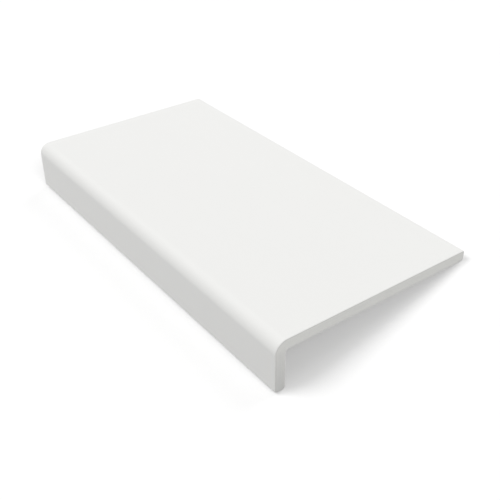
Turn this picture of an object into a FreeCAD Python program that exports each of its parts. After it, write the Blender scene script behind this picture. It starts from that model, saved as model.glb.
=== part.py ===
import FreeCAD
import Part
import Sketcher
import math
import os

# A window sill board: one extruded board of cellular PVC, turned down at its front in a round nose to a leg,
# and sawn square at both ends. It lies unheld on a level floor, on the toe of its leg and its back edge.
# X runs along the nose, +Y to the back edge and +Z up. The origin is on the floor, under the board's middle.

# Driving sizes in millimetres
SIZES = {
    "board_length": 400,   # from one sawn end to the other
    "board_width": 200,    # from the leg's outer face to the back edge
    "board_thick": 10,     # the flat board
    "leg_height": 48,      # from the board's top face to the toe
    "leg_thick": 10,       # the leg
    "nose_radius": 11,     # outside of the turn, from the top face into the leg
    "root_radius": 3,      # inside of the turn, from the underside into the leg
    "toe_radius": 3,       # both corners of the leg's lower end
    "back_radius": 1.5,    # both corners of the back edge
    "saw_radius": 0.5,     # the edge all round a sawn end, rounded over with a scraper
}

doc = FreeCAD.newDocument("window_sill_board")
sheet = doc.addObject("Spreadsheet::Sheet", "sizes")
for row, (name, millimetres) in enumerate(SIZES.items(), start=1):
    sheet.set(f"A{row}", str(millimetres))
    sheet.setAlias(f"A{row}", name)
doc.recompute()

body = doc.addObject("PartDesign::Body", "sill_board")
body.Label = "sill_board"


def size(name):
    """The sheet's value of one driving size."""
    return float(sheet.get(name))


# The section before its corners are rounded is an L of six straight sides, in the body's own frame:
# y from the leg's outer face and z from the board's top face. Its corners, anticlockwise from the nose:
back = size("board_width")
underside = -size("board_thick")
inner = size("leg_thick")
toe = -size("leg_height")
corners = {
    "nose": (0, 0),
    "toe_outer": (0, toe),
    "toe_inner": (inner, toe),
    "root": (inner, underside),
    "back_lower": (back, underside),
    "back_top": (back, 0),
}


def draw_section():
    """The L as a sketch across the board, each side level or upright and held by one of the sheet's sizes."""
    sketch = body.newObject("Sketcher::SketchObject", "section")
    plane = next(item for item in body.Origin.OriginFeatures if item.Role == "YZ_Plane")
    sketch.AttachmentSupport = [(plane, "")]
    sketch.MapMode = "FlatFace"
    points = [FreeCAD.Vector(y, z, 0) for y, z in corners.values()]
    lines = [Part.LineSegment(start, end) for start, end in zip(points, points[1:] + points[:1])]
    sides = sketch.addGeometry(lines, False)
    outer, bottom, inside, under, rear, top = sides
    start, end, origin = 1, 2, -1
    for side, following in zip(sides, sides[1:] + sides[:1]):
        sketch.addConstraint(Sketcher.Constraint("Coincident", side, end, following, start))
    for side in (outer, inside, rear):
        sketch.addConstraint(Sketcher.Constraint("Vertical", side))
    for side in (bottom, under, top):
        sketch.addConstraint(Sketcher.Constraint("Horizontal", side))
    sketch.addConstraint(Sketcher.Constraint("Coincident", outer, start, origin, start))
    for name, side in (("board_width", rear), ("leg_thick", inside)):
        hold(sketch, name, "DistanceX", origin, start, side, start)
    for name, side in (("board_thick", under), ("leg_height", bottom)):
        hold(sketch, name, "DistanceY", side, start, origin, start)
    doc.recompute()
    return sketch


def hold(sketch, name, kind, *between):
    """A dimension of the sketch that takes its value from the sheet's size of the same name."""
    index = sketch.addConstraint(Sketcher.Constraint(kind, *between, size(name)))
    sketch.renameConstraint(index, name)
    sketch.setExpression(f"Constraints.{name}", f"sizes.{name}")


def extrude(sketch):
    """The board's length, as much on each side of the section's plane."""
    pad = body.newObject("PartDesign::Pad", "extrusion")
    pad.Profile = sketch
    pad.Midplane = True
    pad.setExpression("Length", "sizes.board_length")
    doc.recompute()


def round_off(name, radius, picked):
    """Round the picked edges, or all the edges of the picked faces, of the body as it stands."""
    rounding = body.newObject("PartDesign::Fillet", name)
    rounding.Base = (rounding.BaseFeature, picked)
    rounding.setExpression("Radius", f"sizes.{radius}")
    doc.recompute()


def long_edges(*places):
    """The edges along the board's length through the named corners of the section."""
    picked = []
    for number, edge in enumerate(body.Tip.Shape.Edges, start=1):
        for y, z in (corners[place] for place in places):
            if all(math.hypot(end.Y - y, end.Z - z) < Part.Precision.confusion() for end in edge.Vertexes):
                picked.append(f"Edge{number}")
    return picked


def sawn_ends():
    """The two end faces."""
    half = size("board_length") / 2
    picked = []
    for number, face in enumerate(body.Tip.Shape.Faces, start=1):
        if abs(abs(face.CenterOfMass.x) - half) < Part.Precision.confusion():
            picked.append(f"Face{number}")
    return picked


def lay_down():
    """Tip the board back until its toe and its back edge touch the floor, with the origin under its middle.

    The floor touches two rounds from below: the toe's inner corner and the back edge's lower corner.
    """
    toe_round = size("toe_radius")
    back_round = size("back_radius")
    run = (back - back_round) - (inner - toe_round)
    rise = (underside + back_round) - (toe + toe_round)
    tilt = math.atan2(rise, run) + math.asin((toe_round - back_round) / math.hypot(run, rise))
    body.Placement.Rotation = FreeCAD.Rotation(FreeCAD.Vector(1, 0, 0), -math.degrees(tilt))
    doc.recompute()
    box = body.Shape.optimalBoundingBox(False, False)
    body.Placement.Base = FreeCAD.Vector(0, -box.Center.y, -box.ZMin)
    doc.recompute()


extrude(draw_section())
round_off("nose", "nose_radius", long_edges("nose"))
round_off("root", "root_radius", long_edges("root"))
round_off("toe", "toe_radius", long_edges("toe_outer", "toe_inner"))
round_off("back_edge", "back_radius", long_edges("back_lower", "back_top"))
round_off("saw_cuts", "saw_radius", sawn_ends())
lay_down()

# Nothing is written unless every step of the model and the finished board are sound
failed = [item.Label for item in doc.Objects if {"Invalid", "Error"} & set(item.State)]
if failed:
    raise RuntimeError(f"these steps failed: {failed}")
if body.Shape.isNull() or not body.Shape.isValid() or len(body.Shape.Solids) != 1:
    raise RuntimeError("sill_board is not one sound solid")

os.makedirs("parts", exist_ok=True)
body.Shape.exportStep(os.path.join("parts", f"{body.Label}.step"))
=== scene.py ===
"""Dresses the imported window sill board: an extruded cellular PVC board with a nose, sawn at both ends.

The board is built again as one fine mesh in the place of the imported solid, and takes three finishes: the
satin skin that shows when it is fitted, the duller back of the extrusion, and the foam bared by the saw.
"""
import math

import bpy
from mathutils import Matrix, Vector, noise


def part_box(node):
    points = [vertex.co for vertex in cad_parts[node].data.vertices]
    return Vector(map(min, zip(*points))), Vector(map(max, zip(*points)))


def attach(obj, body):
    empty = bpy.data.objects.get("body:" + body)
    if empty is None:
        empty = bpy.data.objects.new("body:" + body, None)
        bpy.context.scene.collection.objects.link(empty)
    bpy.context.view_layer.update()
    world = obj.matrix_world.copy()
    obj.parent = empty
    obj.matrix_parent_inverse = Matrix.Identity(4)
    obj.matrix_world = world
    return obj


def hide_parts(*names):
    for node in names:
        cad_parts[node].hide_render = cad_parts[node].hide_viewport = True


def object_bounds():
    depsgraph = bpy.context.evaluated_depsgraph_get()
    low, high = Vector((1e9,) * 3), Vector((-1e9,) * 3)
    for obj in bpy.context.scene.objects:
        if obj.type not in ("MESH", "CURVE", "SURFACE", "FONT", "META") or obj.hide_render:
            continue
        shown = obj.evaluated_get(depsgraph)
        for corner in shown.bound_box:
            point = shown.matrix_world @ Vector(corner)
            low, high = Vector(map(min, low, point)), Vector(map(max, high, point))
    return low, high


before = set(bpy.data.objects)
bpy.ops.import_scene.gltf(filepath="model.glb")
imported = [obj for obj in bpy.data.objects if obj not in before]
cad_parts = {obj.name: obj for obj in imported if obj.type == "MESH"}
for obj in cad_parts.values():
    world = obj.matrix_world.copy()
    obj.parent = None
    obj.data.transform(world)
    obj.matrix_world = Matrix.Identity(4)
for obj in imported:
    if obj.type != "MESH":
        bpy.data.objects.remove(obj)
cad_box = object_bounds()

bl_info = {
    "name": "Window sill board",
    "version": (1, 0, 0),
    "blender": (4, 5, 0),
    "location": "3D View > Sidebar > Sill board",
    "description": "Builds a nosed sill board of cellular PVC with its finishes, in a plain studio",
    "category": "Object",
}

MM = 0.001
NODE = "sill_board"
PIECE = "extruded_sill_board"

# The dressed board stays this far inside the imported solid, whose rounds are facets and so a little low
INSIDE = 0.02 * MM

# Steps of the mesh
NOSE_STEPS = 32     # the nose, and the root inside it
TOE_STEPS = 6       # half of a corner of the toe
BACK_STEPS = 4      # half of a corner of the back edge
TOP_STEPS = 480     # the top face, and the underside
LEG_STEPS = 44      # each side of the leg
ACROSS_STEPS = 24   # the thickness, with the halves of two corners
LONG_STEPS = 30     # the length between the scraped edges
ARRIS_STEPS = 6     # a scraped edge

# How uneven the saw's marks are. Their place wanders by up to WANDER radians of their wave. Their depth is
# a share of the full one with a spread either way, and varies most from mark to mark, less along a mark.
WANDER, WANDER_LENGTH = 2.4, 14 * MM
DEPTH_SHARE, DEPTH_SPREAD = 0.55, 0.45
LENGTH_ACROSS_MARKS, LENGTH_ALONG_MARK = 5 * MM, 30 * MM

# Where the right end cuts the two patterns of unevenness. The left end cuts them as far below zero.
WANDER_CUT, DEPTH_CUT = 3.0, 7.0

# The marks fade out over this length towards the scraped edge, and their slope is taken over this step
MARK_FADE = 0.6 * MM
SLOPE_STEP = 0.05 * MM

# Nearly all of a noise pattern lies between these two
NOISE_LOW, NOISE_HIGH = 0.3, 0.7

# How strongly solid PVC and bared foam bend light
PVC_IOR, FOAM_IOR = 1.54, 1.5

WHITE = (1.0, 1.0, 1.0, 1.0)


def linear(colour):
    """A colour written as sRGB hex, in the linear values that a shader takes."""
    parts = [int(colour[at:at + 2], 16) / 255 for at in (1, 3, 5)]
    return tuple(part / 12.92 if part <= 0.04045 else ((part + 0.055) / 1.055) ** 2.4 for part in parts)


def size(name, description, metres):
    """A length that the user can change."""
    return bpy.props.FloatProperty(
        name=name, description=description, default=metres, min=0.0, precision=5, unit="LENGTH")


def paint(name, description, colour):
    """A colour that the user can change, given as sRGB hex."""
    return bpy.props.FloatVectorProperty(
        name=name, description=description, default=linear(colour), min=0.0, max=1.0, subtype="COLOR")


def share(name, description, value, most=1.0):
    """A plain number from nothing up to its most."""
    return bpy.props.FloatProperty(
        name=name, description=description, default=value, min=0.0, max=most, precision=3)


def angle(name, description, degrees):
    """An angle that the user can change, given in degrees."""
    return bpy.props.FloatProperty(
        name=name, description=description, default=math.radians(degrees),
        subtype="ANGLE", unit="ROTATION")


def bearing(name, description, height, round_from_x):
    """A direction that the user can change: its height over the floor and its turn from +X, in degrees."""
    up, round_z = math.radians(height), math.radians(round_from_x)
    return bpy.props.FloatVectorProperty(
        name=name, description=description, subtype="DIRECTION",
        default=(math.cos(up) * math.cos(round_z), math.cos(up) * math.sin(round_z), math.sin(up)))


board_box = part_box(NODE)


class SillBoardSizes(bpy.types.PropertyGroup):
    """The section of the extrusion and the length it is sawn to."""

    board_length: size("Length", "From one sawn end to the other", board_box[1].x - board_box[0].x)
    board_width: size("Width", "From the leg's outer face to the back edge", 200 * MM)
    board_thick: size("Thickness", "The flat board", 10 * MM)
    leg_height: size("Leg height", "From the board's top face to the toe", 48 * MM)
    leg_thick: size("Leg thickness", "The leg under the nose", 10 * MM)
    nose_radius: size("Nose radius", "Outside of the turn from the top face into the leg", 11 * MM)
    root_radius: size("Root radius", "Inside of the turn from the underside into the leg", 3 * MM)
    toe_radius: size("Toe radius", "Both corners of the leg's lower end", 3 * MM)
    back_radius: size("Back radius", "Both corners of the back edge", 1.5 * MM)
    saw_radius: size("Sawn edge radius", "The edge round a sawn end, eased with a scraper", 0.5 * MM)
    saw_pitch: size("Saw mark pitch", "From one tooth mark on the sawn end to the next", 1.9 * MM)
    saw_depth: size("Saw mark depth", "How deep a tooth mark goes", 0.05 * MM)
    saw_blade: size("Saw blade radius", "The blade whose teeth left the marks", 125 * MM)


class SillBoardColours(bpy.types.PropertyGroup):
    """The colours of the board's finishes."""

    skin: paint("Skin", "The satin face of the extrusion", "#F1F1EF")
    skin_cloud: paint("Skin, clouded", "The faint second tone of the satin face", "#F0F0EE")
    underside: paint("Underside", "The dull back of the extrusion", "#ECECE8")
    core: paint("Core", "The foam bared by the saw", "#FAFAF6")
    # This tone draws the foam's denser layers, and is also painted shade down the leg's sawn end, darker
    # towards the floor
    core_layers_and_leg_shade: paint("Dense core", "Denser foam, in layers and down the leg", "#DEDEDC")
    pore: paint("Pores", "The shaded bottom of a cut cell", "#D2D2CE")
    skin_cut: paint("Cut skin", "The solid skin where it is sawn through", "#BEBEBB")
    # Lighter than the cut skin it covers: partly the scraper's burnish, partly a painted highlight along
    # the sawn end's edge
    arris: paint("Scraped edge", "The eased edge, burnished by the scraper", "#F5F5F3")
    floor: paint("Floor", "The floor as it lights the board", "#B6B6B6")
    floor_shown: paint("Floor as seen", "The floor's paper as the camera sees it", "#E9E9E9")


class SillBoardStudio(bpy.types.PropertyGroup):
    """The light, the floor and the camera."""

    sky: share("Sky", "How bright the white surroundings light the board", 0.332, most=2.0)
    key: share("Key light", "The front lamp's strength on a face turned to it", 0.44, most=10.0)
    key_from: bearing("Key from", "Where the front lamp stands, seen from the board", 60, 225)
    side: share("Side light", "The strength of the lamp beyond the right sawn end", 0.29, most=10.0)
    side_from: bearing("Side from", "Where the side lamp stands, seen from the board", 40, 0)
    back: share("Back light", "The strength of the lamp behind the board", 0.166, most=10.0)
    back_from: bearing("Back from", "Where the back lamp stands, seen from the board", 40, 90)
    lamp_spread: angle("Lamp spread", "How wide each lamp looks from the board", 30)
    floor_lift: share("Floor lift", "White that the camera sees on the floor beside its light", 0.213)
    floor_side: size("Floor side", "One side of the square floor", 8.0)
    camera_at: bpy.props.FloatVectorProperty(
        name="Camera", description="Where the camera stands",
        default=(0.5432, -0.2882, 0.4689), subtype="TRANSLATION", unit="LENGTH")
    camera_turn: bpy.props.FloatVectorProperty(
        name="Camera turn", description="How the camera is turned",
        default=tuple(math.radians(degrees) for degrees in (49.472, 9.433, 52.913)),
        subtype="EULER", unit="ROTATION")
    camera_lens: bpy.props.FloatProperty(
        name="Lens", description="Focal length on a 36 mm sensor, in millimetres",
        default=57.966, unit="CAMERA")


def straight(start, end, normal, steps):
    """Points and normals along a flat side of the section, without its last point."""
    return [(start.lerp(end, step / steps), normal) for step in range(steps)]


def turned(centre, radius, first, last, steps):
    """Points and normals round a corner without its last point, from one facing to another in degrees.

    A hollow corner has a negative radius.
    """
    found = []
    for step in range(steps):
        facing = math.radians(first + (last - first) * step / steps)
        normal = Vector((math.cos(facing), math.sin(facing)))
        found.append((centre + radius * normal, normal))
    return found


def section(sizes):
    """The section's outline in the board's own frame, as four runs of points and normals, anticlockwise.

    y runs from the leg's outer face and z from the top face. The runs are the face that shows, the toe,
    the underside and the back edge. They meet in the middle of the four small corners, so that a grid
    between them fills the sawn end.
    """
    width, thick = sizes.board_width, sizes.board_thick
    toe, inner = -sizes.leg_height, sizes.leg_thick
    nose, root = sizes.nose_radius, sizes.root_radius
    toe_round, back_round = sizes.toe_radius, sizes.back_radius
    out, up, inwards, down = Vector((-1, 0)), Vector((0, 1)), Vector((1, 0)), Vector((0, -1))
    toe_outer = Vector((toe_round, toe + toe_round))
    toe_inner = Vector((inner - toe_round, toe + toe_round))
    back_lower = Vector((width - back_round, back_round - thick))
    back_upper = Vector((width - back_round, -back_round))
    shown = (
        turned(back_upper, back_round, 45, 90, BACK_STEPS)
        + straight(Vector((width - back_round, 0)), Vector((nose, 0)), up, TOP_STEPS)
        + turned(Vector((nose, -nose)), nose, 90, 180, NOSE_STEPS)
        + straight(Vector((0, -nose)), Vector((0, toe + toe_round)), out, LEG_STEPS)
        + turned(toe_outer, toe_round, 180, 225, TOE_STEPS))
    foot = (
        turned(toe_outer, toe_round, 225, 270, TOE_STEPS)
        + straight(Vector((toe_round, toe)), Vector((inner - toe_round, toe)), down,
                   ACROSS_STEPS - 2 * TOE_STEPS)
        + turned(toe_inner, toe_round, 270, 315, TOE_STEPS))
    hidden = (
        turned(toe_inner, toe_round, 315, 360, TOE_STEPS)
        + straight(Vector((inner, toe + toe_round)), Vector((inner, -thick - root)), inwards, LEG_STEPS)
        + turned(Vector((inner + root, -thick - root)), -root, 0, -90, NOSE_STEPS)
        + straight(Vector((inner + root, -thick)), Vector((width - back_round, -thick)), down, TOP_STEPS)
        + turned(back_lower, back_round, 270, 315, BACK_STEPS))
    rear = (
        turned(back_lower, back_round, 315, 360, BACK_STEPS)
        + straight(Vector((width, back_round - thick)), Vector((width, -back_round)), inwards,
                   ACROSS_STEPS - 2 * BACK_STEPS)
        + turned(back_upper, back_round, 0, 45, BACK_STEPS))
    return shown, foot, hidden, rear


def resting_place(sizes):
    """How the board lies: tipped back on its toe and its back edge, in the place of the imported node.

    The floor touches two rounds from below: the toe's inner corner and the back edge's lower corner.
    """
    run = (sizes.board_width - sizes.back_radius) - (sizes.leg_thick - sizes.toe_radius)
    rise = (sizes.back_radius - sizes.board_thick) - (sizes.toe_radius - sizes.leg_height)
    tilt = math.atan2(rise, run)
    tilt += math.asin((sizes.toe_radius - sizes.back_radius) / math.hypot(run, rise))
    tipped = Matrix.Rotation(-tilt, 4, "X")
    corners = [tipped @ Vector((0, *point)) for part in section(sizes) for point, normal in part]
    low, high = board_box
    over = [corner.y for corner in corners]
    shift = Vector((
        (low.x + high.x) / 2,
        (low.y + high.y - min(over) - max(over)) / 2,
        low.z - min(corner.z for corner in corners)))
    return Matrix.Translation(shift) @ tipped


def saw_mark(sizes, across, up, side):
    """How deep the saw went at a point of a sawn end: arcs of the blade, one a tooth, uneven in depth."""
    middle = -sizes.leg_height / 2
    rim = across - math.sqrt(sizes.saw_blade ** 2 - (up - middle) ** 2)
    wandering = noise.noise(Vector((across, up, side * WANDER_CUT)) / WANDER_LENGTH)
    varying = noise.noise(Vector((rim / LENGTH_ACROSS_MARKS, up / LENGTH_ALONG_MARK, side * DEPTH_CUT)))
    wave = 0.5 + 0.5 * math.sin(2 * math.pi * rim / sizes.saw_pitch + WANDER * wandering)
    return sizes.saw_depth * (DEPTH_SHARE + DEPTH_SPREAD * varying) * wave


def sawn_surface(sizes, place, side, fade):
    """How deep the faded marks go at a place of a sawn end, and the normal that their slope gives it."""
    mark = saw_mark(sizes, place.x, place.y, side) * fade
    slope_y = (saw_mark(sizes, place.x + SLOPE_STEP, place.y, side) * fade - mark) / SLOPE_STEP
    slope_z = (saw_mark(sizes, place.x, place.y + SLOPE_STEP, side) * fade - mark) / SLOPE_STEP
    return mark, Vector((side, slope_y, slope_z))


# The numbers of the finishes, in the order of the mesh's materials
SKIN, UNDERSIDE, SAWN = range(3)


class BoardMesh:
    """The board's points in its own frame, with what each says of the surface, and its faces."""

    def __init__(self):
        self.points, self.normals, self.depths, self.hiddens, self.arrises = [], [], [], [], []
        self.faces, self.finishes = [], []

    def add(self, point, normal, depth, hidden, arris=0.0):
        """Add a point with its normal and what the finishes go by.

        That is its depth under the skin, where it lies from the face that shows (0) to the one that is
        hidden (1), and how far it belongs to the scraped edge.
        """
        self.points.append(point)
        self.normals.append(normal.normalized())
        self.depths.append(depth)
        self.hiddens.append(hidden)
        self.arrises.append(arris)
        return len(self.points) - 1

    def face(self, corners, finish):
        """Add a face with the number of its finish."""
        self.faces.append(corners)
        self.finishes.append(finish)


def ring(mesh, runs, x, inset, lean, arris):
    """The section's ring of points at x, drawn in by inset, its normals turned to the end by lean."""
    side = math.copysign(1, x)
    found = []
    # The runs go from the face that shows (0) round the toe to the hidden one (1), and back by the rear
    for run, first, last in zip(runs, (0, 0, 1, 1), (0, 1, 1, 0)):
        for number, (point, normal) in enumerate(run):
            place = point - normal * (inset + INSIDE)
            tilted = Vector((side * math.sin(lean), *(normal * math.cos(lean))))
            hidden = first + (last - first) * number / len(run)
            found.append(mesh.add(Vector((x, *place)), tilted, inset, hidden, arris))
    return found


def sawn_end(mesh, sizes, rim, runs, x):
    """Fill a sawn end with a grid between its four runs, lowered along the saw's marks."""
    side = math.copysign(1, x)
    long_steps, cross_steps = len(runs[0]), len(runs[1])
    blend_over = sizes.board_thick / 2

    def rim_at(row, column):
        """The rim's point at the edge of the grid, or None inside it."""
        if column == 0:
            return rim[row]
        if row == long_steps:
            return rim[long_steps + column]
        if column == cross_steps:
            return rim[2 * long_steps + cross_steps - row]
        if row == 0:
            return rim[-column]
        return None

    def flat(index):
        """The place of a rim's point in the section."""
        return mesh.points[index].yz

    starts = [flat(rim_at(row, 0)) for row in range(long_steps + 1)]
    ends = [flat(rim_at(row, cross_steps)) for row in range(long_steps + 1)]
    walked = [0.0]
    for row in range(long_steps):
        step = (starts[row + 1] + ends[row + 1] - starts[row] - ends[row]) / 2
        walked.append(walked[-1] + step.length)

    def filled(row, column):
        """A place inside the grid: on the line across it, which bulges near the toe and the back edge."""
        part = column / cross_steps
        place = starts[row].lerp(ends[row], part)
        for edge_row, distance in ((0, walked[row]), (long_steps, walked[-1] - walked[row])):
            pull = max(0.0, 1 - distance / blend_over) ** 2
            bulge = flat(rim_at(edge_row, column)) - starts[edge_row].lerp(ends[edge_row], part)
            place = place + bulge * pull
        return place

    def grid_point(row, column):
        """The mesh's point at a place of the grid, added to the mesh where it isn't on the rim."""
        known = rim_at(row, column)
        if known is not None:
            return known
        place = filled(row, column)
        to_back = sizes.board_width - sizes.saw_radius - place.x
        to_toe = place.y + sizes.leg_height - sizes.saw_radius
        to_rim = min((place - starts[row]).length, (place - ends[row]).length, to_back, to_toe)
        depth = sizes.saw_radius + to_rim
        fade = min(1.0, (depth - sizes.saw_radius) / MARK_FADE)
        mark, normal = sawn_surface(sizes, place, side, fade)
        return mesh.add(Vector((x - side * mark, *place)), normal, depth, column / cross_steps)

    grid = [
        [grid_point(row, column) for column in range(cross_steps + 1)]
        for row in range(long_steps + 1)]
    for here, following in zip(grid, grid[1:]):
        for column in range(cross_steps):
            corners = (here[column], following[column], following[column + 1], here[column + 1])
            mesh.face(corners if side > 0 else corners[::-1], SAWN)


def board_mesh(sizes):
    """The whole board: the extrusion, its scraped edges and its sawn ends."""
    mesh = BoardMesh()
    runs = section(sizes)
    around = sum(len(run) for run in runs)
    half, eased = sizes.board_length / 2 - INSIDE, sizes.saw_radius
    # A station is a place along the board with how far its ring is drawn in and how far its normals lean
    stations = []
    for step in range(ARRIS_STEPS + 1):
        lean = math.pi / 2 * (1 - step / ARRIS_STEPS)
        stations.append((-half + eased * (1 - math.sin(lean)), eased * (1 - math.cos(lean)), lean))
    plain = half - eased
    for step in range(1, LONG_STEPS):
        stations.append((-plain + 2 * plain * step / LONG_STEPS, 0.0, 0.0))
    stations += [(-x, inset, lean) for x, inset, lean in stations[ARRIS_STEPS::-1]]
    rings = []
    for x, inset, lean in stations:
        on_edge = 1.0 if lean > 0 else 0.0
        rings.append(ring(mesh, runs, x, inset, lean, on_edge))
    under_first = len(runs[0]) + len(runs[1]) + TOE_STEPS
    under_last = len(runs[0]) + len(runs[1]) + len(runs[2]) - BACK_STEPS
    for number, (here, following) in enumerate(zip(rings, rings[1:])):
        edge = number < ARRIS_STEPS or number >= len(rings) - 1 - ARRIS_STEPS
        for at in range(around):
            beside = (at + 1) % around
            plain_finish = UNDERSIDE if under_first <= at < under_last else SKIN
            corners = (here[at], here[beside], following[beside], following[at])
            mesh.face(corners, SAWN if edge else plain_finish)
    sawn_end(mesh, sizes, rings[0], runs, -half)
    sawn_end(mesh, sizes, rings[-1], runs, half)
    return mesh


def add_node(tree, kind, inputs=None, output=0, **settings):
    """Add a node with its settings, and give back its first output or the one that is asked for.

    Each input is a value or another node's output, and is found by name among the sockets in use, or by
    number. A node that ends a tree has no output to give back.
    """
    made = tree.nodes.new(kind)
    for name, value in settings.items():
        setattr(made, name, value)
    for name, value in (inputs or {}).items():
        if isinstance(name, int):
            socket = made.inputs[name]
        else:
            socket = next(socket for socket in made.inputs if socket.enabled and socket.name == name)
        if isinstance(value, bpy.types.NodeSocket):
            tree.links.new(value, socket)
        else:
            socket.default_value = value
    if isinstance(output, str):
        return made.outputs[output]
    in_use = [socket for socket in made.outputs if socket.enabled]
    return in_use[output] if in_use else None


def new_tree(name):
    """An empty material and its node tree."""
    material = bpy.data.materials.new(name)
    material.use_nodes = True
    material.node_tree.nodes.clear()
    return material, material.node_tree


def own_frame(tree, place):
    """The point's place in the board's own frame, which lies along its faces."""
    held = add_node(tree, "ShaderNodeTexCoord", output="Object")
    return add_node(
        tree, "ShaderNodeMapping",
        {"Vector": held, "Location": place.to_translation(), "Rotation": place.to_euler()},
        vector_type="TEXTURE")


def satin_skin(colours, place):
    """Co-extruded PVC skin, cooled against the walls of a sizing die.

    To the eye it is an even satin white: faint lines run from the die along the board, with a very fine
    orange peel between them, so that lights blur in it and never mirror.
    """
    material, tree = new_tree("co_extruded_pvc_skin_satin")
    own = own_frame(tree, place)
    cloud_width = 70 * MM
    cloud = add_node(tree, "ShaderNodeTexNoise", {"Vector": own, "Scale": 1 / cloud_width, "Detail": 2.0})
    tone = add_node(
        tree, "ShaderNodeMix",
        {"Factor": cloud, "A": (*colours.skin, 1.0), "B": (*colours.skin_cloud, 1.0)},
        data_type="RGBA")
    # Die lines are 0.3 to 1 mm apart on the real board, and drawn 1.6 mm apart to show at all. They run on
    # and on, so their pattern has only this share of its scale along the board.
    line_gap, line_height, along = 1.6 * MM, 0.006 * MM, 0.004
    drawn_out = add_node(
        tree, "ShaderNodeVectorMath", {0: own, 1: (along, 1.0, 1.0)}, operation="MULTIPLY")
    lines = add_node(
        tree, "ShaderNodeTexNoise", {"Vector": drawn_out, "Scale": 1 / line_gap, "Detail": 2.0})
    lined = add_node(
        tree, "ShaderNodeBump", {"Height": lines, "Strength": 1.0, "Distance": line_height})
    # Orange peel of 0.5 to 1 mm, drawn at 1.4 mm
    peel_width, peel_height = 1.4 * MM, 0.004 * MM
    peel = add_node(tree, "ShaderNodeTexNoise", {"Vector": own, "Scale": 1 / peel_width, "Detail": 1.0})
    peeled = add_node(
        tree, "ShaderNodeBump",
        {"Height": peel, "Strength": 1.0, "Distance": peel_height, "Normal": lined})
    smoothest, roughest = 0.38, 0.46
    rough = add_node(
        tree, "ShaderNodeMapRange",
        {"Value": lines, "From Min": NOISE_LOW, "From Max": NOISE_HIGH,
         "To Min": smoothest, "To Max": roughest})
    surface = add_node(
        tree, "ShaderNodeBsdfPrincipled",
        {"Base Color": tone, "Roughness": rough, "IOR": PVC_IOR, "Normal": peeled})
    add_node(tree, "ShaderNodeOutputMaterial", {"Surface": surface})
    return material


def dull_back(colours, place):
    """The back of the extrusion, where the foam has only its own skin.

    To the eye it is duller and a little warmer than the face, with coarser lines from the die and
    shallow dimples where cells lie close under the skin.
    """
    material, tree = new_tree("foamed_pvc_own_skin_dull")
    own = own_frame(tree, place)
    # Coarse lines of the die, drawn 2.6 mm apart, with this share of their pattern's scale along the board
    line_gap, line_height, along = 2.6 * MM, 0.03 * MM, 0.01
    drawn_out = add_node(
        tree, "ShaderNodeVectorMath", {0: own, 1: (along, 1.0, 1.0)}, operation="MULTIPLY")
    lines = add_node(
        tree, "ShaderNodeTexNoise", {"Vector": drawn_out, "Scale": 1 / line_gap, "Detail": 3.0})
    lined = add_node(
        tree, "ShaderNodeBump", {"Height": lines, "Strength": 1.0, "Distance": line_height})
    # Dimples of 1 to 2 mm over cells of a few tenths
    dimple_width, dimple_depth = 1.8 * MM, 0.02 * MM
    dimples = add_node(
        tree, "ShaderNodeTexNoise", {"Vector": own, "Scale": 1 / dimple_width, "Detail": 2.0})
    dimpled = add_node(
        tree, "ShaderNodeBump",
        {"Height": dimples, "Strength": 1.0, "Distance": dimple_depth, "Normal": lined})
    smoothest, roughest = 0.55, 0.68
    rough = add_node(
        tree, "ShaderNodeMapRange",
        {"Value": dimples, "From Min": NOISE_LOW, "From Max": NOISE_HIGH,
         "To Min": smoothest, "To Max": roughest})
    tone = add_node(
        tree, "ShaderNodeMix",
        {"Factor": lines, "A": (*colours.underside, 1.0), "B": (*colours.core, 1.0)},
        data_type="RGBA")
    surface = add_node(
        tree, "ShaderNodeBsdfPrincipled",
        {"Base Color": tone, "Roughness": rough, "IOR": PVC_IOR, "Normal": dimpled})
    add_node(tree, "ShaderNodeOutputMaterial", {"Surface": surface})
    return material


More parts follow.
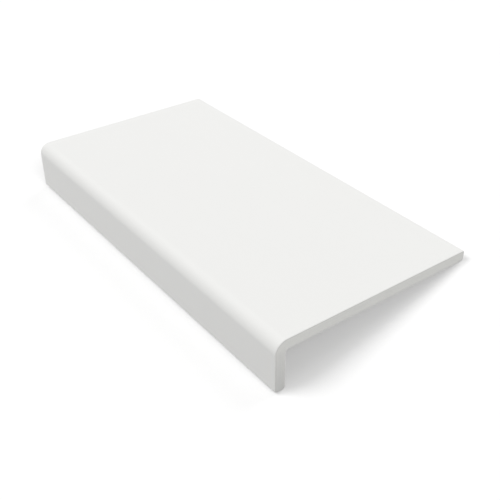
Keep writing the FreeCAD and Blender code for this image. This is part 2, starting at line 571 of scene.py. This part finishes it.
def sawn_foam(colours, place):
    """Foamed PVC bared by a fine saw, its edge eased with a scraper.

    To the eye it is matt, with open pores and denser layers that follow the section, and a painted shade
    darkens it down the leg towards the floor.
    The skin of the face that shows is a thin grey line round it, and the scraped edge is smoother and
    catches the light; its lighter colour is partly burnished and partly a painted highlight.
    """
    material, tree = new_tree("foamed_pvc_sawn")
    own = own_frame(tree, place)
    depth = add_node(tree, "ShaderNodeAttribute", output="Fac", attribute_name="depth")
    hidden = add_node(tree, "ShaderNodeAttribute", output="Fac", attribute_name="hidden")
    arris = add_node(tree, "ShaderNodeAttribute", output="Fac", attribute_name="arris")
    # The solid skin is about a millimetre thick on the face that shows, and thinner on the back
    skin_from, skin_to, thinner_by = 0.8 * MM, 1.1 * MM, 0.4 * MM
    under_skin = add_node(
        tree, "ShaderNodeMath", {0: hidden, 1: thinner_by, 2: depth}, operation="MULTIPLY_ADD")
    cored = add_node(
        tree, "ShaderNodeMapRange",
        {"Value": under_skin, "From Min": skin_from, "From Max": skin_to, "To Min": 0.0, "To Max": 1.0},
        interpolation_type="SMOOTHSTEP")
    # Layers of denser foam, 0.9 mm apart, that bend with the section because they lie at one depth. Across
    # the board their pattern has only this share of its scale.
    layer_gap, layer_share, across = 0.9 * MM, 0.4, 0.06
    parted = add_node(tree, "ShaderNodeSeparateXYZ", {"Vector": own}).node.outputs
    layer_place = add_node(tree, "ShaderNodeCombineXYZ", {"X": depth, "Y": parted["Y"]})
    layered = add_node(
        tree, "ShaderNodeVectorMath", {0: layer_place, 1: (1.0, across, 1.0)}, operation="MULTIPLY")
    layers = add_node(
        tree, "ShaderNodeTexNoise", {"Vector": layered, "Scale": 1 / layer_gap, "Detail": 1.0})
    # Painted shade: the foam's tone darkens from the nose down the leg towards the floor, soon at first
    shade_from, shade_to, darkest_shade, rise_power = -8 * MM, -46 * MM, 0.53, 0.6
    leg_shade_ramp = add_node(
        tree, "ShaderNodeMapRange",
        {"Value": parted["Z"], "From Min": shade_from, "From Max": shade_to,
         "To Min": 0.0, "To Max": darkest_shade})
    # Painted shade down the leg, rising soon below the nose
    denser = add_node(tree, "ShaderNodeMath", {0: leg_shade_ramp, 1: rise_power}, operation="POWER")
    layers_and_leg_shade = add_node(
        tree, "ShaderNodeMath", {0: layers, 1: layer_share, 2: denser},
        operation="MULTIPLY_ADD", use_clamp=True)
    mottle_width, mottle_share = 9 * MM, 0.15
    mottle = add_node(
        tree, "ShaderNodeTexNoise", {"Vector": own, "Scale": 1 / mottle_width, "Detail": 3.0})
    mottled = add_node(
        tree, "ShaderNodeMath", {0: mottle, 1: mottle_share, 2: layers_and_leg_shade}, operation="MULTIPLY_ADD")
    foam = add_node(
        tree, "ShaderNodeMix",
        {"Factor": mottled, "A": (*colours.core, 1.0), "B": (*colours.core_layers_and_leg_shade, 1.0)},
        data_type="RGBA")
    # Cells are 0.1 to 0.3 mm across, and drawn 0.8 mm apart to show. A pore's bottom and rim are shares of
    # that gap.
    cell_gap, pore_bottom, pore_rim, pore_share, pore_depth = 0.8 * MM, 0.12, 0.34, 0.3, 0.05 * MM
    cells = add_node(
        tree, "ShaderNodeTexVoronoi", {"Vector": own, "Scale": 1 / cell_gap}, output="Distance")
    pore = add_node(
        tree, "ShaderNodeMapRange",
        {"Value": cells, "From Min": pore_bottom, "From Max": pore_rim, "To Min": 1.0, "To Max": 0.0},
        interpolation_type="SMOOTHSTEP")
    open_pore = add_node(tree, "ShaderNodeMath", {0: pore, 1: cored}, operation="MULTIPLY")
    pored_share = add_node(tree, "ShaderNodeMath", {0: open_pore, 1: pore_share}, operation="MULTIPLY")
    pored = add_node(
        tree, "ShaderNodeMix",
        {"Factor": pored_share, "A": foam, "B": (*colours.pore, 1.0)},
        data_type="RGBA")
    pitted = add_node(
        tree, "ShaderNodeBump",
        {"Height": open_pore, "Strength": 1.0, "Distance": pore_depth}, invert=True)
    # Torn cell walls of about 0.1 mm, drawn at 0.5 mm
    grain_width, grain_height = 0.5 * MM, 0.012 * MM
    grain = add_node(
        tree, "ShaderNodeTexNoise", {"Vector": own, "Scale": 1 / grain_width, "Detail": 2.0})
    grained = add_node(
        tree, "ShaderNodeBump",
        {"Height": grain, "Strength": 1.0, "Distance": grain_height, "Normal": pitted})
    rimmed = add_node(
        tree, "ShaderNodeMix",
        {"Factor": cored, "A": (*colours.skin_cut, 1.0), "B": pored},
        data_type="RGBA")
    # Painted highlight: the scraped edge takes the lighter colour in place of the cut skin, partly
    # burnished and partly painted
    scraped = add_node(
        tree, "ShaderNodeMix",
        {"Factor": arris, "A": rimmed, "B": (*colours.arris, 1.0)},
        data_type="RGBA")
    sawn_rough, scraped_rough = 0.8, 0.45
    rough = add_node(
        tree, "ShaderNodeMapRange",
        {"Value": arris, "From Min": 0.0, "From Max": 1.0, "To Min": sawn_rough, "To Max": scraped_rough})
    surface = add_node(
        tree, "ShaderNodeBsdfPrincipled",
        {"Base Color": scraped, "Roughness": rough, "IOR": FOAM_IOR, "Normal": grained})
    add_node(tree, "ShaderNodeOutputMaterial", {"Surface": surface})
    return material


def seen_directly(tree):
    """1 for rays that show a thing to the camera, straight or by gloss or glass, and 0 for the others."""
    rays = add_node(tree, "ShaderNodeLightPath").node.outputs
    either = add_node(
        tree, "ShaderNodeMath", {0: rays["Is Camera Ray"], 1: rays["Is Glossy Ray"]}, operation="MAXIMUM")
    return add_node(
        tree, "ShaderNodeMath", {0: either, 1: rays["Is Transmission Ray"]}, operation="MAXIMUM")


def floor_paper(colours, studio):
    """Matt white paper. It shows as white where the light is full and keeps the board's shadow.

    It lights the board less than it shows, as a pale floor would. From below it isn't there.
    """
    material, tree = new_tree("matt_white_paper")
    lighting = add_node(tree, "ShaderNodeBsdfDiffuse", {"Color": (*colours.floor, 1.0)})
    paper = add_node(tree, "ShaderNodeBsdfDiffuse", {"Color": (*colours.floor_shown, 1.0)})
    lift = add_node(tree, "ShaderNodeEmission", {"Color": WHITE, "Strength": studio.floor_lift})
    shown = add_node(tree, "ShaderNodeAddShader", {0: paper, 1: lift})
    by_ray = add_node(tree, "ShaderNodeMixShader", {0: seen_directly(tree), 1: lighting, 2: shown})
    back = add_node(tree, "ShaderNodeNewGeometry", output="Backfacing")
    camera = add_node(tree, "ShaderNodeLightPath", output="Is Camera Ray")
    from_below = add_node(tree, "ShaderNodeMath", {0: back, 1: camera}, operation="MULTIPLY")
    clear = add_node(tree, "ShaderNodeBsdfTransparent")
    both = add_node(tree, "ShaderNodeMixShader", {0: from_below, 1: by_ray, 2: clear})
    add_node(tree, "ShaderNodeOutputMaterial", {"Surface": both})
    return material


def white_surroundings(studio):
    """A world that shows as white and lights the board at the sky's strength."""
    world = bpy.data.worlds.new("white_studio")
    world.use_nodes = True
    tree = world.node_tree
    tree.nodes.clear()
    lights = add_node(tree, "ShaderNodeBackground", {"Color": WHITE, "Strength": studio.sky})
    shows = add_node(tree, "ShaderNodeBackground", {"Color": WHITE, "Strength": 1.0})
    mixed = add_node(tree, "ShaderNodeMixShader", {0: seen_directly(tree), 1: lights, 2: shows})
    add_node(tree, "ShaderNodeOutputWorld", {"Surface": mixed})
    return world


def add_object(name, data):
    """Put an object of that name in the scene, in place of one that an earlier run of an operator made."""
    if name in bpy.data.objects:
        bpy.data.objects.remove(bpy.data.objects[name])
    made = bpy.data.objects.new(name, data)
    bpy.context.scene.collection.objects.link(made)
    return made


def lay_floor(colours, studio):
    """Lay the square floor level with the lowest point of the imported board."""
    reach = studio.floor_side / 2
    corners = ((-reach, -reach), (reach, -reach), (reach, reach), (-reach, reach))
    sheet = bpy.data.meshes.new("floor")
    sheet.from_pydata([(x, y, cad_box[0].z) for x, y in corners], [], [(0, 1, 2, 3)])
    sheet.materials.append(floor_paper(colours, studio))
    add_object("floor", sheet)


def stand_lamp(name, studio):
    """Stand one of the studio's lamps, which is a sun and so lights the whole board evenly."""
    lamp = bpy.data.lights.new(name, "SUN")
    # A white face turned to a sun shows the sun's strength divided by pi
    lamp.energy = getattr(studio, name) * math.pi
    lamp.angle = studio.lamp_spread
    stand = add_object(name, lamp)
    # The lamp itself leaves no highlight on the satin skin
    stand.visible_glossy = False
    towards = Vector(getattr(studio, f"{name}_from"))
    stand.rotation_euler = towards.to_track_quat("Z", "Y").to_euler()


def place_camera(studio):
    """Place the camera, and give it back."""
    camera = add_object("camera", bpy.data.cameras.new("camera"))
    camera.location = studio.camera_at
    camera.rotation_euler = studio.camera_turn
    camera.data.lens = studio.camera_lens
    return camera


def dressed_mesh(sizes, colours):
    """The board's mesh as it lies, with its finishes and what they go by."""
    place = resting_place(sizes)
    turn = place.to_3x3()
    built = board_mesh(sizes)
    mesh = bpy.data.meshes.new(PIECE)
    mesh.from_pydata([place @ point for point in built.points], [], built.faces)
    for finish in (satin_skin, dull_back, sawn_foam):
        mesh.materials.append(finish(colours, place))
    mesh.polygons.foreach_set("material_index", built.finishes)
    mesh.polygons.foreach_set("use_smooth", [True] * len(built.faces))
    for name, values in (("depth", built.depths), ("hidden", built.hiddens), ("arris", built.arrises)):
        mesh.attributes.new(name, "FLOAT", "POINT").data.foreach_set("value", values)
    mesh.update()
    mesh.normals_split_custom_set_from_vertices([turn @ normal for normal in built.normals])
    return mesh


class SILL_BOARD_OT_board(bpy.types.Operator):
    """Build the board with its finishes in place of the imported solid"""

    bl_idname = "sill_board.build_board"
    bl_label = "Build the board"

    def execute(self, context):
        scene = context.scene
        board = add_object(PIECE, dressed_mesh(scene.sill_board_sizes, scene.sill_board_colours))
        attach(board, "root")
        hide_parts(NODE)
        return {"FINISHED"}


class SILL_BOARD_OT_studio(bpy.types.Operator):
    """Set the floor, the light and the camera round the board"""

    bl_idname = "sill_board.set_studio"
    bl_label = "Set the studio"

    def execute(self, context):
        scene = context.scene
        studio = scene.sill_board_studio
        scene.view_settings.view_transform = "Standard"
        lay_floor(scene.sill_board_colours, studio)
        scene.world = white_surroundings(studio)
        for name in ("key", "side", "back"):
            stand_lamp(name, studio)
        scene.camera = place_camera(studio)
        return {"FINISHED"}


class SILL_BOARD_PT_tools(bpy.types.Panel):
    """The operators and what they go by"""

    bl_label = "Sill board"
    bl_space_type = "VIEW_3D"
    bl_region_type = "UI"
    bl_category = "Sill board"

    def draw(self, context):
        for operator in OPERATORS:
            self.layout.operator(operator.bl_idname)
        for name, group in GROUPS.items():
            box = self.layout.box()
            for field in group.__annotations__:
                box.prop(getattr(context.scene, name), field)


OPERATORS = (SILL_BOARD_OT_board, SILL_BOARD_OT_studio)
GROUPS = {
    "sill_board_sizes": SillBoardSizes,
    "sill_board_colours": SillBoardColours,
    "sill_board_studio": SillBoardStudio,
}


def register():
    """Register the add-on's classes and hang its groups on the scene."""
    for name, group in GROUPS.items():
        bpy.utils.register_class(group)
        setattr(bpy.types.Scene, name, bpy.props.PointerProperty(type=group))
    for item in (*OPERATORS, SILL_BOARD_PT_tools):
        bpy.utils.register_class(item)


def unregister():
    """Take the add-on's classes and groups away again."""
    for item in (SILL_BOARD_PT_tools, *reversed(OPERATORS)):
        bpy.utils.unregister_class(item)
    for name, group in reversed(GROUPS.items()):
        delattr(bpy.types.Scene, name)
        bpy.utils.unregister_class(group)


def main():
    """Register the add-on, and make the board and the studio."""
    register()
    bpy.ops.sill_board.build_board()
    bpy.ops.sill_board.set_studio()


if __name__ == "__main__":
    main()
